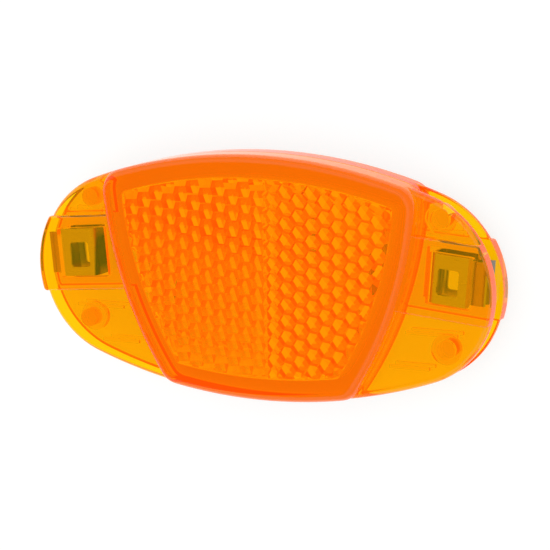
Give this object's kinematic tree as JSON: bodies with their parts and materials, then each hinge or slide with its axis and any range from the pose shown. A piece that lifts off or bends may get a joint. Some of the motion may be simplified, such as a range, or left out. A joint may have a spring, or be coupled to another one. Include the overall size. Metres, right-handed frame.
{
  "type": "bicycle spoke reflector",
  "caption": "Oval amber bicycle spoke reflector: mirrored lens halves with a raised cube-corner prism pad, open end slots and spring steel clips that snap onto the spokes.",
  "frame": {"origin": "centre of the reflector, on the parting plane between its halves", "axes": "+X along the oval's length to the right, +Y towards the pad's wide edge, which points to the rim, +Z out of the front pad"},
  "size_m": [0.086, 0.0425, 0.0096],
  "materials": {
    "amber_acrylic": "clear amber, moulded and polished",
    "spring_steel": "bright rolled strip"
  },
  "bodies": {
    "root": {"front_lens_half": "amber_acrylic", "rear_lens_half": "amber_acrylic", "left_spoke_clip": "spring_steel", "right_spoke_clip": "spring_steel"}
  },
  "joints": []
}
